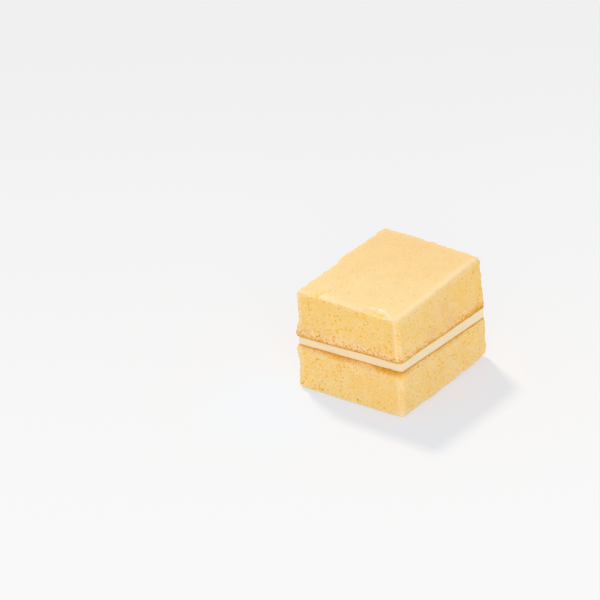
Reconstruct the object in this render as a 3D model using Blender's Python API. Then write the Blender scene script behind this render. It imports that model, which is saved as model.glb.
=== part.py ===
"""A slice of chiffon cake: two blocks of pale sponge with a flat band of cream between them.

Lengths are metres, +Z is up and +X runs along the slice. The origin is at the middle of the
underside. The corners are named as somebody sees them who looks at the slice with one corner
towards them: near (-X -Y), left (-X +Y), right (+X -Y) and far (+X +Y).
"""

import math
import random
from dataclasses import dataclass, field

import bmesh
import bpy
from mathutils import Vector, noise

MM = 0.001

# Driving dimensions.
LENGTH = 63 * MM
WIDTH = 51 * MM
GAP = 0.3 * MM  # clearance between the cream and each sponge
CREAM_INSET = 0.35 * MM  # the knife leaves the cream this far behind the sponge
SEED = 7

# Lattice that the skins are made on: the lines next to an edge, and the step between the rest.
SPONGE_EDGE_LINES = (0.0, 0.5 * MM, 1.3 * MM, 2.6 * MM)
SPONGE_STEP = 3.0 * MM
CREAM_EDGE_LINES = (0.0, 0.25 * MM, 0.9 * MM)
CREAM_STEP = 6.0 * MM

CORNERS = {"near": (-1, -1), "left": (-1, 1), "right": (1, -1), "far": (1, 1)}

# The four levels of the slice. A baked and cut sponge is never square, so each corner has its
# own reach past the plain rectangle along X and along Y, and its own height, all in mm.
LEVELS = {
    "underside": {
        "near": (0.1, 0.7, 0.0),
        "left": (0.8, 0.7, 0.0),
        "right": (0.9, 0.8, 0.0),
        "far": (0.6, 0.4, 0.0),
    },
    "cream_floor": {
        "near": (-0.6, 0.4, 21.2),
        "left": (0.2, 0.3, 20.2),
        "right": (-0.6, 0.1, 19.0),
        "far": (0.1, 0.1, 18.6),
    },
    "cream_roof": {
        "near": (-0.5, 0.0, 25.2),
        "left": (0.3, 0.1, 24.1),
        "right": (-0.9, 0.1, 24.1),
        "far": (0.1, 0.1, 22.9),
    },
    "top": {
        "near": (1.7, 0.2, 45.2),
        "left": (0.3, 0.1, 44.8),
        "right": (-1.5, -0.9, 47.7),
        "far": (1.0, 0.6, 47.1),
    },
}

# Radius of each upright corner, and of the edge along each side, in mm.
SPONGE_CORNERS = {"near": 2.0, "left": 2.0, "right": 2.4, "far": 2.6}
CREAM_CORNERS = {"near": 1.9, "left": 0.9, "right": 1.2, "far": 1.2}
TOP_EDGES = {"-X": 0.8, "+X": 1.6, "-Y": 1.2, "+Y": 1.6}
BASE_EDGES = {"-X": 1.4, "+X": 2.4, "-Y": 1.3, "+Y": 1.6}
CRUST_EDGES = {"-X": 0.35, "+X": 0.35, "-Y": 0.35, "+Y": 0.35}
CREAM_EDGES = {"-X": 0.25, "+X": 0.25, "-Y": 0.25, "+Y": 0.25}

# Extra rounding of the base where it was worn, in mm, fading with distance from the corner.
BASE_WEAR = {"right": 2.6, "far": 1.0}
WEAR_FADE = 3  # power of the fading

# Side walls: (share of the height, mm outwards), from the floor up. The browned skin next to
# the cream stands out as a soft rim, and the rest of the wall is nearly plumb.
UPPER_WALL = ((0.0, 0.0), (0.06, 0.7), (0.17, 0.8), (0.36, 0.0), (1.0, -0.1))
LOWER_WALL = ((0.0, -0.3), (0.2, 0.0), (0.55, 0.05), (0.8, 0.6), (0.9, 0.9), (1.0, -0.2))
CREAM_WALL = ((0.0, 0.0), (1.0, 0.0))
RIM_SHARE = {"near": 1.0, "left": 1.0, "right": 0.3, "far": 0.8}  # how far the swell of a wall goes
WALL_FADE = 6 * MM  # the swell of a wall dies out this far in from it

# The upper sponge's rim stands out this much more at its very foot, on each side, in mm.
UPPER_LIP = {"-X": 0.2, "+X": 0.2, "-Y": 0.0, "+Y": 0.2}
NO_LIP = {"-X": 0.0, "+X": 0.0, "-Y": 0.0, "+Y": 0.0}
LIP_HEIGHT = 1.3 * MM

# Low dome of the top, at the middle of its +Y half: place, reach and height.
DOME_AT = Vector((12.0, 25.0)) * MM
DOME_REACH = 16.0 * MM
TOP_CROWN = 1.0 * MM

# Unevenness of the baked faces: (distance between swellings, height of one), in mm.
SWELLS = ((17.0, 0.45), (6.0, 0.28))

# Larger air holes, cut as pits: how many on each sponge, and the range of their radii in mm.
PORES = 26
PORE_RADII = (0.4, 0.75)
PORE_SINK = 0.3  # share of its radius that a pore's middle lies below the skin
PORE_MARGIN = 2.5 * MM  # kept free of pores next to the floor and the roof
TOP_SHARE = 0.25  # the baked top has fewer pores than a cut wall of the same area
PORE_SPREAD = 0.47  # share of the length and width, each way from the middle, that has pores

# Crease in the top: its two ends in the plan, radii across it and down, height over the skin.
CREASE_LINE = ((-31.5, 15.4), (-23.5, 13.2))
CREASE_RADII = (0.7, 0.65)
CREASE_LIFT = 0.1
CREASE_MIDDLE = 0.45  # where its deepest place lies between the two ends
CREASE_HALF = 0.58  # half of its length, as a share of the distance between the two ends

# Flap of top skin along the -X edge, in the same way. Its middle lies outwards and below.
FLAP_LINE = ((-31.0, -19.5), (-30.0, -9.5))
FLAP_RADII = (1.3, 0.75)
FLAP_SHIFT = Vector((-0.2, 0.0, -0.2)) * MM
FLAP_HALF = 0.56

# Where the lower edge of the -Y wall is torn: place along X, half length, depth, in mm.
TEARS = ((12.8, 2.6, 0.7), (-14.7, 1.8, 0.6))
SHARP_ANGLE = math.radians(40)  # edges sharper than this stay sharp in the shading

# Colours on the screen's scale of 0 to 255, and roughness.
CRUMB = (246, 208, 134)
CRUMB_ROUGHNESS = 0.9
CREAM_COLOUR = (242, 222, 186)
CREAM_ROUGHNESS = 0.45


@dataclass
class Layer:
    """One layer of the slice, between two levels."""

    name: str
    floor: str
    roof: str
    corners: dict
    floor_edges: dict
    roof_edges: dict
    wall: tuple
    edge_lines: tuple = SPONGE_EDGE_LINES
    step: float = SPONGE_STEP
    base_wear: dict = field(default_factory=dict)
    lip: dict = field(default_factory=NO_LIP.copy)
    crown: float = 0.0
    floor_lift: float = 0.0
    roof_lift: float = 0.0
    inset: float = 0.0
    wall_swells: float = 1.0
    roof_swells: float = 0.0

    def height(self):
        """Mean height between the two levels, in metres."""
        floor = sum(corner[2] for corner in LEVELS[self.floor].values())
        roof = sum(corner[2] for corner in LEVELS[self.roof].values())
        return (roof - floor) / len(CORNERS) * MM


UPPER = Layer(
    name="upper_sponge",
    floor="cream_roof",
    roof="top",
    corners=SPONGE_CORNERS,
    floor_edges=CRUST_EDGES,
    roof_edges=TOP_EDGES,
    wall=UPPER_WALL,
    lip=UPPER_LIP,
    crown=TOP_CROWN,
    floor_lift=GAP / 2,
    roof_swells=1.0,
)
CREAM = Layer(
    name="cream_filling",
    floor="cream_floor",
    roof="cream_roof",
    corners=CREAM_CORNERS,
    floor_edges=CREAM_EDGES,
    roof_edges=CREAM_EDGES,
    wall=CREAM_WALL,
    edge_lines=CREAM_EDGE_LINES,
    step=CREAM_STEP,
    floor_lift=GAP / 2,
    roof_lift=-GAP / 2,
    inset=CREAM_INSET,
    wall_swells=0.35,
)
LOWER = Layer(
    name="lower_sponge",
    floor="underside",
    roof="cream_floor",
    corners=SPONGE_CORNERS,
    floor_edges=BASE_EDGES,
    roof_edges=CRUST_EDGES,
    wall=LOWER_WALL,
    base_wear=BASE_WEAR,
    roof_lift=-GAP / 2,
)


def smooth_between(points, at):
    """Height of the curve through points, level at each of them, read at one place."""
    for (a, low), (b, high) in zip(points, points[1:]):
        if at <= b:
            share = max(0.0, (at - a) / (b - a))
            return low + (high - low) * share * share * (3 - 2 * share)
    return points[-1][1]


def nearness(name, x, y):
    """How near a point of the plan is to one corner: 1 at it, 0 at the other three."""
    sx, sy = CORNERS[name]
    return (0.5 + sx * x / LENGTH) * (0.5 + sy * y / WIDTH)


def corner_mean(values, x, y):
    """Mix of the four corners' places at a point of the plan, each weighted by its nearness."""
    total = Vector((0.0, 0.0, 0.0))
    for name, (sx, sy) in CORNERS.items():
        out_x, out_y, height = values[name]
        total += nearness(name, x, y) * Vector((sx * out_x, sy * out_y, height))
    return total * MM


def corner_mix(values, x, y):
    """Mix of one number for each corner, at a point of the plan."""
    return sum(value * nearness(name, x, y) for name, value in values.items())


def plan_of(layer, x, y):
    """Rounds the plan's corners: the new point, its outward direction and its inset."""
    side = "right" if y < 0 else "far"
    if x < 0:
        side = "near" if y < 0 else "left"
    radius = layer.corners[side] * MM
    half = Vector((LENGTH / 2, WIDTH / 2))
    inset = min(half.x - abs(x), half.y - abs(y))
    core = Vector((
        math.copysign(min(abs(x), half.x - radius), x),
        math.copysign(min(abs(y), half.y - radius), y),
    ))
    beyond = Vector((x, y)) - core
    if beyond.length < 1e-9:
        along_x = half.x - abs(x) < half.y - abs(y)
        outward = Vector((math.copysign(1, x), 0)) if along_x else Vector((0, math.copysign(1, y)))
        return Vector((x, y)), outward, inset
    outward = beyond.normalized()
    return core + outward * max(abs(beyond.x), abs(beyond.y)), outward, inset


def side_mix(values, outward):
    """The sides' values, in mm, in the direction outward: one side's runs into the next one's."""
    along_x = values["+X"] if outward.x > 0 else values["-X"]
    along_y = values["+Y"] if outward.y > 0 else values["-Y"]
    return (along_x * outward.x ** 2 + along_y * outward.y ** 2) * MM


def floor_radius(layer, outward, x, y):
    """Radius of the floor's edge, with the wear of the corners added."""
    wear = sum(
        extra * nearness(name, x, y) ** WEAR_FADE for name, extra in layer.base_wear.items()
    )
    return side_mix(layer.floor_edges, outward) + wear * MM


def dome(plan):
    """The top's low dome over the plan, from 0 to 1."""
    return math.exp(-((plan - DOME_AT).length / DOME_REACH) ** 2)


def round_edge(inset, depth, radius):
    """Rounds the edge between wall and face, given the distance from each.

    Returns the two new distances and the outward and upward parts of the skin's direction."""
    out = max(radius - inset, 0.0)
    up = max(radius - depth, 0.0)
    length = math.hypot(out, up)
    if length == 0.0:
        return inset, depth, 0.0, 0.0
    if out > 0.0 and up > 0.0:
        inset = radius * (1 - out / length)
        depth = radius * (1 - up / length)
    return inset, depth, out / length, up / length


def place(layer, x, y, share):
    """Point of the layer's skin for a point of the plain block, and the way that it faces.

    share runs from 0 on the block's floor to 1 on its roof. The floor itself is not asked for
    the way it faces, and stays level, so that the slice rests flat."""
    height = layer.height()
    z = share * height
    plan, outward, inset = plan_of(layer, x, y)
    start = inset
    if share < 0.5:
        inset, z, out, _ = round_edge(inset, z, floor_radius(layer, outward, x, y))
        direction = Vector((outward.x * out, outward.y * out, 0.0))
        swells = layer.wall_swells
    else:
        inset, depth, out, up = round_edge(inset, height - z, side_mix(layer.roof_edges, outward))
        z = height - depth
        direction = Vector((outward.x * out, outward.y * out, up))
        swells = layer.wall_swells * out + layer.roof_swells * up
    swell = smooth_between(layer.wall, z / height) * MM * corner_mix(RIM_SHARE, x, y)
    lip = side_mix(layer.lip, outward) * max(0.0, 1 - z / LIP_HEIGHT)
    stand = swell + lip - layer.inset
    fade = max(0.0, 1 - start / WALL_FADE)
    plan = plan + outward * (start - inset + stand * fade)

    low = corner_mean(LEVELS[layer.floor], plan.x, plan.y)
    high = corner_mean(LEVELS[layer.roof], plan.x, plan.y)
    low.z += layer.floor_lift
    high.z += layer.roof_lift + layer.crown * dome(plan)
    point = low.lerp(high, z / height) + Vector((plan.x, plan.y, 0.0))
    if swells > 0.0:
        for spacing, size in SWELLS:
            point += direction * (swells * size * MM * noise.noise(point / (spacing * MM)))
    return point, direction


def lattice_lines(layer, length):
    """Lattice lines along one axis: close together next to both ends, a step apart between."""
    ends = list(layer.edge_lines)
    span = length - 2 * ends[-1]
    count = max(1, round(span / layer.step))
    inner = [ends[-1] + span * i / count for i in range(1, count)]
    return ends + inner + [length - line for line in reversed(ends)]


def skin_of(layer):
    """Closed skin of one layer: the lattice on the six sides of its block, put in place."""
    height = layer.height()
    lines = (
        [line - LENGTH / 2 for line in lattice_lines(layer, LENGTH)],
        [line - WIDTH / 2 for line in lattice_lines(layer, WIDTH)],
        [line / height for line in lattice_lines(layer, height)],
    )
    last = [len(axis) - 1 for axis in lines]
    skin = bmesh.new()
    vertices = {}

    def vertex(key):
        """The vertex of one lattice point, made when it is first asked for."""
        if key not in vertices:
            i, j, k = key
            vertices[key] = skin.verts.new(place(layer, lines[0][i], lines[1][j], lines[2][k])[0])
        return vertices[key]

    for axis in range(3):
        across = (axis + 1) % 3
        along = (axis + 2) % 3
        for end in (0, last[axis]):
            for p in range(last[across]):
                for q in range(last[along]):
                    loop = []
                    for dp, dq in ((0, 0), (1, 0), (1, 1), (0, 1)):
                        key = [0, 0, 0]
                        key[axis] = end
                        key[across] = p + dp
                        key[along] = q + dq
                        loop.append(vertex(tuple(key)))
                    skin.faces.new(loop if end else loop[::-1])
    return skin


def add_object(name, shape, collection):
    """Turns a bmesh into an object of its own."""
    mesh = bpy.data.meshes.new(name)
    shape.to_mesh(mesh)
    shape.free()
    item = bpy.data.objects.new(name, mesh)
    collection.objects.link(item)
    return item


def linear(level):
    """One channel of a colour, from the screen's scale of 0 to 255 to linear light."""
    level /= 255
    return level / 12.92 if level <= 0.04045 else ((level + 0.055) / 1.055) ** 2.4


def food_material(name, colour, roughness):
    """Plain material of one food."""
    material = bpy.data.materials.new(name)
    material.use_nodes = True
    shader = material.node_tree.nodes["Principled BSDF"]
    shader.inputs["Base Color"].default_value = (*(linear(level) for level in colour), 1.0)
    shader.inputs["Roughness"].default_value = roughness
    shader.inputs["Metallic"].default_value = 0.0
    return material


def helper_collection(name):
    """Collection for the shapes that are cut from a layer or fused to it, and not rendered."""
    collection = bpy.data.collections.new(name)
    bpy.context.scene.collection.children.link(collection)
    return collection


def add_blob(collection, middle, radii, along=Vector((1, 0, 0))):
    """A low ellipsoid with its three radii along the given way, across it and upwards."""
    shape = bmesh.new()
    bmesh.ops.create_icosphere(shape, subdivisions=1, radius=1.0)
    along = along.normalized()
    across = Vector((0, 0, 1)).cross(along).normalized()
    upward = along.cross(across)
    for vertex in shape.verts:
        a, b, c = (part * size for part, size in zip(vertex.co, radii))
        vertex.co = middle + along * a + across * b + upward * c
    blob = add_object(f"{collection.name}_{len(collection.objects)}", shape, collection)
    blob.hide_render = True
    blob.display_type = "WIRE"
    return blob


def scatter_pores(layer, collection, sides, draw):
    """Cuts the larger air holes, spread by chance over the layer's exposed sides."""
    height = layer.height()
    areas = {"X": WIDTH * height, "Y": LENGTH * height, "Z": LENGTH * WIDTH * TOP_SHARE}
    margin = PORE_MARGIN / height
    for _ in range(PORES):
        side = draw.choices(sides, [areas[side[1]] for side in sides])[0]
        sign = 1 if side[0] == "+" else -1
        x = LENGTH * draw.uniform(-PORE_SPREAD, PORE_SPREAD)
        y = WIDTH * draw.uniform(-PORE_SPREAD, PORE_SPREAD)
        share = draw.uniform(margin, 1 - margin)
        if side[1] == "X":
            x = sign * LENGTH / 2
        elif side[1] == "Y":
            y = sign * WIDTH / 2
        else:
            share = 1.0
        add_pore(layer, collection, (x, y, share), draw.uniform(*PORE_RADII) * MM)


def add_pore(layer, collection, where, radius):
    """One round air hole, its middle a little below the skin at a point of the plain block."""
    point, direction = place(layer, *where)
    add_blob(collection, point - direction * (radius * PORE_SINK), (radius, radius, radius))


def fuse(sponge, collection, operation):
    """Cuts the collection's shapes from the sponge or joins them to it, then removes them."""
    step = sponge.modifiers.new(collection.name, "BOOLEAN")
    step.operation = operation
    step.operand_type = "COLLECTION"
    step.collection = collection
    step.solver = "EXACT"
    seen = sponge.evaluated_get(bpy.context.evaluated_depsgraph_get())
    mesh = bpy.data.meshes.new_from_object(seen)
    sponge.modifiers.clear()
    sponge.data = mesh
    for shape in list(collection.objects):
        bpy.data.objects.remove(shape, do_unlink=True)
    bpy.data.collections.remove(collection)


def ends_on_top(line):
    """The two ends of a line of the plan, put on the top of the slice."""
    return [place(UPPER, x * MM, y * MM, 1.0)[0] for x, y in line]


def cut_crease(collection):
    """Crease where the top skin buckled, from the left wall's edge in towards the middle."""
    start, end = ends_on_top(CREASE_LINE)
    along = end - start
    middle = start + along * CREASE_MIDDLE + Vector((0.0, 0.0, CREASE_LIFT * MM))
    across, down = CREASE_RADII
    add_blob(collection, middle, (along.length * CREASE_HALF, across * MM, down * MM), along)


def add_flap(collection):
    """Flap of top skin that lifted along the edge of the -X side when the slice was cut."""
    start, end = ends_on_top(FLAP_LINE)
    along = end - start
    across, up = FLAP_RADII
    middle = start + along / 2 + FLAP_SHIFT
    add_blob(collection, middle, (along.length * FLAP_HALF, across * MM, up * MM), along)


def tear_edge(collection):
    """Small tears where the lower edge of the -Y wall pulled away from the tray."""
    for x, half_length, depth in TEARS:
        middle, _ = place(LOWER, x * MM, -WIDTH / 2, 0.0)
        add_blob(collection, middle, (half_length * MM, depth * MM, depth * MM))


def build_sponge(layer, material, sides, seed, marks, flaps=None):
    """One block of sponge with its larger air holes, its marks and, on top, its lifted flap."""
    sponge = add_object(layer.name, skin_of(layer), bpy.context.scene.collection)
    sponge.data.materials.append(material)
    pores = helper_collection(layer.name + "_pores")
    scatter_pores(layer, pores, sides, random.Random(seed))
    marks(pores)
    fuse(sponge, pores, "DIFFERENCE")
    if flaps:
        flap_shapes = helper_collection(layer.name + "_flaps")
        flaps(flap_shapes)
        fuse(sponge, flap_shapes, "UNION")
    sponge.data.shade_smooth()
    sponge.data.set_sharp_from_angle(angle=SHARP_ANGLE)


def build_cream(material):
    """The band of cream, cut clean with the slice."""
    cream = add_object(CREAM.name, skin_of(CREAM), bpy.context.scene.collection)
    cream.data.materials.append(material)
    cream.data.shade_smooth()
    cream.data.set_sharp_from_angle(angle=SHARP_ANGLE)


def main():
    """Builds the slice: the upper sponge, the cream and the lower sponge."""
    for item in list(bpy.data.objects):
        bpy.data.objects.remove(item, do_unlink=True)

    crumb = food_material("chiffon_crumb", CRUMB, CRUMB_ROUGHNESS)
    walls = ["-X", "+X", "-Y", "+Y"]
    build_sponge(UPPER, crumb, walls + ["+Z"], SEED, cut_crease, add_flap)
    build_cream(food_material("pale_cream", CREAM_COLOUR, CREAM_ROUGHNESS))
    build_sponge(LOWER, crumb, walls, SEED + 1, tear_edge)


main()
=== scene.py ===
"""Looks of a slice of chiffon cake: two blocks of sponge with a band of cream between them.

The form is worked out in millimetres, in the frame's own axes, and turned into metres when a
mesh is made. The slice's corners are near (-X -Y), left (-X +Y), right (+X -Y), far (+X +Y).
"""

import math
import random
from types import SimpleNamespace

import bpy
import numpy as np
from mathutils import Matrix, Vector, kdtree, noise


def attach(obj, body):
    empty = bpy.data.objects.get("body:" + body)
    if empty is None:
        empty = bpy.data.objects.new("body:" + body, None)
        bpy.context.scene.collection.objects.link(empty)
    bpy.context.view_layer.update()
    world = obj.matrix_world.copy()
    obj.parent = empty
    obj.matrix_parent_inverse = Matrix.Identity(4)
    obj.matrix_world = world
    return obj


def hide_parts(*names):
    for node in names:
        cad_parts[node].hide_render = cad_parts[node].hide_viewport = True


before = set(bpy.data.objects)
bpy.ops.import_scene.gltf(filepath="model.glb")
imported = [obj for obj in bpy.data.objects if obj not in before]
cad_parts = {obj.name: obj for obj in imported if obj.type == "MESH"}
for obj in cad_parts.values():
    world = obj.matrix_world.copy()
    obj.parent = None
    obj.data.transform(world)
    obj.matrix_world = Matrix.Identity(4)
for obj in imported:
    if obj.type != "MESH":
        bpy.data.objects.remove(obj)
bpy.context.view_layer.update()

# ------------------------------------------------------------------------------
# Lower sponge. Chiffon batter baked as a flat sheet, turned over so that its browned skin lies
# against the cream, and sliced with a knife. The cut walls show an open crumb full of air holes,
# and the skin's edge stands out as a thin brown line just under the cream.
MM = 0.001
LENGTH = 63.0
WIDTH = 51.0

CORNERS = {"near": (-1, -1), "left": (-1, 1), "right": (1, -1), "far": (1, 1)}
SIDES = {"-X": (-1, 0, 0), "+X": (1, 0, 0), "-Y": (0, -1, 0), "+Y": (0, 1, 0)}

# How far each level's corners reach past the plain rectangle along X and Y, and how high they
# are, in the order of CORNERS.
LEVELS = {
    "underside": ((0.1, 0.7, 0.0), (0.8, 0.7, 0.0), (0.9, 0.8, 0.0), (0.6, 0.4, 0.0)),
    "cream_floor": ((-0.6, 0.4, 21.2), (0.2, 0.3, 20.2), (-0.6, 0.1, 19.0), (0.1, 0.1, 18.6)),
    "cream_roof": ((-0.5, 0.0, 25.2), (0.3, 0.1, 24.1), (-0.9, 0.1, 24.1), (0.1, 0.1, 22.9)),
    "top": ((1.7, 0.2, 45.2), (0.3, 0.1, 44.8), (-1.5, -0.9, 47.7), (1.0, 0.6, 47.1)),
}

# Radius of each upright corner, and of the edges beside the cream.
SPONGE_CORNERS = {"near": 2.0, "left": 2.0, "right": 2.4, "far": 2.6}
CRUST_EDGES = dict.fromkeys(SIDES, 0.35)

WEAR_FADE = 3  # how fast the wear of a floor's corner fades away from it
ON_SIDE = 0.7  # the least part of a point's direction that puts it on a side
RIM_SHARE = {"near": 1.0, "left": 1.0, "right": 0.3, "far": 0.8}  # of the walls' swell, at each corner
WALL_FADE = 6.0  # the wall's swell dies out this far in from it
LIP_HEIGHT = 1.3  # a lip at the wall's foot dies out this far up
DOME_AT = (12.0, 25.0)  # middle of a layer's low crown
DOME_REACH = 16.0
SWELLS = ((17.0, 0.45), (6.0, 0.28))  # how far apart the skin's swellings are, and how high
CREAM_CONTACT = 0.12  # the sponges reach this far into the cream, so that no gap shows

LATTICE = 0.32  # step of the skins' lattice
HIDDEN_FROM = 9  # rows of fine facets along the edge of a hidden face
HIDDEN_STEP = 8  # lattice steps to one facet inside those rows


def mean_height(layer):
    floor = sum(corner[2] for corner in LEVELS[layer.floor])
    roof = sum(corner[2] for corner in LEVELS[layer.roof])
    return (roof - floor) / len(CORNERS)


def nearness(name, x, y):
    """How near points of the plan are to one corner: 1 at it, 0 at the other three."""
    sx, sy = CORNERS[name]
    return (0.5 + sx * x / LENGTH) * (0.5 + sy * y / WIDTH)


def corner_mean(values, x, y):
    """Mix of the four corners' places at points of the plan, each weighted by its nearness."""
    total = np.zeros((len(x), 3))
    for (name, (sx, sy)), (out_x, out_y, height) in zip(CORNERS.items(), values):
        total += nearness(name, x, y)[:, None] * np.array((sx * out_x, sy * out_y, height))
    return total


def corner_mix(values, x, y):
    """Mix of one number for each corner, at points of the plan."""
    return sum(value * nearness(name, x, y) for name, value in values.items())


def plan_of(layer, x, y):
    """Rounds the plan's corners: new points, their outward directions and their insets."""
    near_side = np.where(x < 0, layer.corners["near"], layer.corners["right"])
    far_side = np.where(x < 0, layer.corners["left"], layer.corners["far"])
    radius = np.where(y < 0, near_side, far_side)
    gap_x = LENGTH / 2 - np.abs(x)
    gap_y = WIDTH / 2 - np.abs(y)
    core = np.stack([
        np.copysign(np.minimum(np.abs(x), LENGTH / 2 - radius), x),
        np.copysign(np.minimum(np.abs(y), WIDTH / 2 - radius), y),
    ], axis=1)
    beyond = np.stack([x, y], axis=1) - core
    length = np.hypot(beyond[:, 0], beyond[:, 1])
    inside = length < 1e-6
    along_x = gap_x < gap_y
    flat = np.stack([
        np.where(along_x, np.copysign(1.0, x), 0.0),
        np.where(along_x, 0.0, np.copysign(1.0, y)),
    ], axis=1)
    outward = np.where(inside[:, None], flat, beyond / np.maximum(length, 1e-6)[:, None])
    reach = np.abs(beyond).max(axis=1)
    plan = core + np.where(inside[:, None], beyond, outward * reach[:, None])
    return plan, outward, np.minimum(gap_x, gap_y)


def side_mix(values, outward):
    """Mix of one number for each side, in the direction outward."""
    along_x = np.where(outward[:, 0] > 0, values["+X"], values["-X"])
    along_y = np.where(outward[:, 1] > 0, values["+Y"], values["-Y"])
    return along_x * outward[:, 0] ** 2 + along_y * outward[:, 1] ** 2


def on_corner(outward):
    """1 on the middle of an upright corner, 0 on a flat side."""
    return 2 * np.abs(outward[:, 0] * outward[:, 1])


def round_edge(inset, depth, radius):
    """New distances from wall and face, and the outward and upward parts of the skin's direction."""
    out = np.maximum(radius - inset, 0.0)
    up = np.maximum(radius - depth, 0.0)
    length = np.maximum(np.hypot(out, up), 1e-9)
    turned = (out > 0) & (up > 0)
    inset = np.where(turned, radius * (1 - out / length), inset)
    depth = np.where(turned, radius * (1 - up / length), depth)
    return inset, depth, out / length, up / length


def smooth_between(points, at):
    """The curve through points, level at each of them, read at many places."""
    value = np.full(len(at), float(points[0][1]))
    for (a, low), (b, high) in zip(points, points[1:]):
        share = np.clip((at - a) / (b - a), 0, 1)
        value = np.where(at > a, low + (high - low) * share * share * (3 - 2 * share), value)
    return value


def perlin(points, spacing, shift=0.0):
    """Smooth noise, from about -1 to 1, at many points; spacing is the size of its lumps in mm."""
    return np.array([noise.noise(row) for row in (points / spacing + shift).tolist()])


def spot_at(points, middle, reach):
    """A soft round spot over the points, 1 at its middle."""
    return np.exp(-(((points - middle) / reach) ** 2).sum(axis=1))


def place(layer, x, y, share):
    """Puts points of the plain block on the layer's skin. share is 0 on its floor, 1 on its roof."""
    height = mean_height(layer)
    plan, outward, start = plan_of(layer, x, y)
    low_half = share < 0.5
    z = share * height
    floor_radius = side_mix(layer.floor_edges, outward)
    for name, wear in layer.floor_wear.items():
        floor_radius += wear * nearness(name, x, y) ** WEAR_FADE
    for middle, half_width, extra in layer.floor_bites:
        bite = extra * np.exp(-((x - middle) / half_width) ** 2)
        floor_radius += bite * (outward[:, 1] < -ON_SIDE)
    floor_inset, floor_z, floor_out, _ = round_edge(start, z, floor_radius)
    roof_inset, roof_depth, roof_out, roof_up = round_edge(
        start, height - z, side_mix(layer.roof_edges, outward))
    inset = np.where(low_half, floor_inset, roof_inset)
    z = np.where(low_half, floor_z, height - roof_depth)
    out = np.where(low_half, floor_out, roof_out)
    up = np.where(low_half, 0.0, roof_up)
    direction = np.column_stack([outward * out[:, None], up])
    stand = smooth_between(layer.wall, z / height) * corner_mix(RIM_SHARE, x, y) - layer.inset
    fade = np.maximum(0.0, 1 - start / WALL_FADE)
    stand += side_mix(layer.lip, outward) * np.clip(1 - z / LIP_HEIGHT, 0, 1)
    plan = plan + outward * (start - inset + stand * fade)[:, None]

    low = corner_mean(LEVELS[layer.floor], plan[:, 0], plan[:, 1])
    high = corner_mean(LEVELS[layer.roof], plan[:, 0], plan[:, 1])
    low[:, 2] += layer.floor_lift
    high[:, 2] += layer.roof_lift + layer.crown * spot_at(plan, DOME_AT, DOME_REACH)
    points = low + (high - low) * (z / height)[:, None]
    points[:, :2] += plan
    swells = layer.wall_swells * out + layer.roof_swells * up
    swells = np.where(low_half, layer.wall_swells, swells)
    for spacing, size in SWELLS:
        points += direction * (swells * size * perlin(points, spacing))[:, None]
    return points, direction, outward, start, out, up


def lattice_sides(layer):
    """Vertex keys (i, j, k) and facets of the block's lattice, coarse inside the hidden faces."""
    count = [round(LENGTH / LATTICE), round(WIDTH / LATTICE), round(mean_height(layer) / LATTICE)]
    facets = []
    for axis in range(3):
        across = (axis + 1) % 3
        along = (axis + 2) % 3
        for end in (0, count[axis]):
            hidden = axis == 2 and ("floor" if end == 0 else "roof") in layer.hidden
            for loop in side_facets(count[across], count[along], hidden):
                keys = []
                for p, q in loop if end else loop[::-1]:
                    key = [0, 0, 0]
                    key[axis] = end
                    key[across] = p
                    key[along] = q
                    keys.append(tuple(key))
                facets.append(keys)
    return count, facets


def side_facets(wide, long, hidden):
    """Facets of one side. A hidden side has fine rows along its edge only, and large ones inside."""
    rim = min(HIDDEN_FROM, wide // 4, long // 4) if hidden else 0
    loops = []
    for p in range(wide):
        for q in range(long):
            if hidden and rim <= p < wide - rim and rim <= q < long - rim:
                continue
            loops.append([(p, q), (p + 1, q), (p + 1, q + 1), (p, q + 1)])
    if not hidden:
        return loops
    rows = list(range(rim, wide - rim, HIDDEN_STEP)) + [wide - rim]
    columns = list(range(rim, long - rim, HIDDEN_STEP)) + [long - rim]
    for p0, p1 in zip(rows, rows[1:]):
        for q0, q1 in zip(columns, columns[1:]):
            low = range(p0, p1) if q0 == columns[0] else [p0]
            right = range(q0, q1) if p1 == rows[-1] else [q0]
            high = range(p1, p0, -1) if q1 == columns[-1] else [p1]
            left = range(q1, q0, -1) if p0 == rows[0] else [q1]
            loop = [(p, q0) for p in low] + [(p1, q) for q in right]
            loops.append(loop + [(p, q1) for p in high] + [(p0, q) for q in left])
    return loops


def skin_of(layer):
    """A layer's smooth skin: points, facets and what the finish needs to know of each point."""
    count, facets = lattice_sides(layer)
    index = {}
    for loop in facets:
        for key in loop:
            index.setdefault(key, len(index))
    keys = np.array(list(index), dtype=float)
    x = (keys[:, 0] / count[0] - 0.5) * LENGTH
    y = (keys[:, 1] / count[1] - 0.5) * WIDTH
    share = keys[:, 2] / count[2]
    points, direction, outward, start, out, up = place(layer, x, y, share)
    return SimpleNamespace(
        points=points, direction=direction, outward=outward, out=out, up=up,
        start=start, share=share, on_roof=share == 1.0,
        facets=[[index[key] for key in loop] for loop in facets],
        from_corner=(WIDTH / 2 - np.abs(y)) - (LENGTH / 2 - np.abs(x)),
    )


# How ragged the knife left each upper edge and each upright corner.
EDGE_RAGGED = {"-X": 0.26, "+X": 1.0, "-Y": 0.25, "+Y": 1.0}
CORNER_RAGGED = {"near": 0.5, "left": 1.0, "right": 0.9, "far": 1.0}


def ragged_edges(skin):
    """How ragged the skin is at each point: only along the upright corners and upper edges."""
    upright = on_corner(skin.outward) * skin.out ** 2
    level = 2 * skin.out * skin.up
    x = skin.points[:, 0]
    y = skin.points[:, 1]
    return np.clip(np.maximum(
        upright * corner_mix(CORNER_RAGGED, x, y),
        level * side_mix(EDGE_RAGGED, skin.outward),
    ), 0, 1)


def foam(points, spacing):
    """Bubbly noise, from about -1 in the middle of a bubble to 1 on the walls between them."""
    return np.array([2 * noise.voronoi(row)[0][0] - 0.9 for row in (points / spacing).tolist()])


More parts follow.
